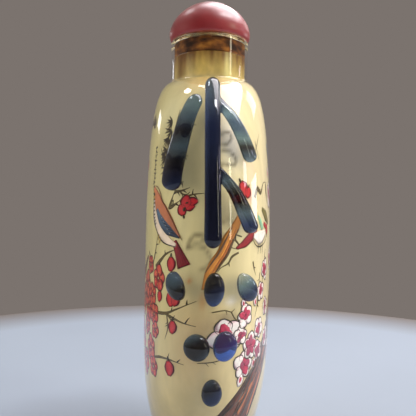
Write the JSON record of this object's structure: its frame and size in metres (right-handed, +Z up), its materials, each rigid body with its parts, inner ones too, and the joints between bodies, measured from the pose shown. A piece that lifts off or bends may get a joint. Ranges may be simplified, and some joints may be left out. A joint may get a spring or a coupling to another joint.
{
  "type": "snuff bottle",
  "caption": "Flattened oval glass snuff bottle with a round neck, painted inside, with blue glass relief on its narrow sides, a cork plug and a domed stopper.",
  "frame": {"origin": "centre of the foot's underside, where the bottle stands", "axes": "+Z up along the neck, +X towards the narrow side with the full blue overlay, Y across the thin depth with the broad faces at -Y and +Y"},
  "size_m": [0.049, 0.0217, 0.0792],
  "materials": {
    "clear_glass": "polished clear glass, painted inside with a warm cream ground, a bird on a branch and plum blossom",
    "blue_glass": "polished deep blue glass in rounded relief",
    "coral": "polished coral, coral pink, soft gloss",
    "cork": "plain cork, aged brown"
  },
  "bodies": {
    "root": {"glass_bottle": "clear_glass", "stopper_cap": "coral", "stopper_plug": "cork", "overlay_branched_stem": "blue_glass", "overlay_leaf": "blue_glass", "overlay_far_stem": "blue_glass", "overlay_far_leaf": "blue_glass", "overlay_drop_upper_left": "blue_glass", "overlay_drop_upper_middle": "blue_glass", "overlay_drop_upper_right": "blue_glass", "overlay_drop_middle_left": "blue_glass", "overlay_drop_middle_right": "blue_glass", "overlay_drop_lowest": "blue_glass", "overlay_far_drop_upper": "blue_glass", "overlay_far_drop_middle": "blue_glass", "overlay_far_drop_lowest": "blue_glass"}
  },
  "joints": []
}
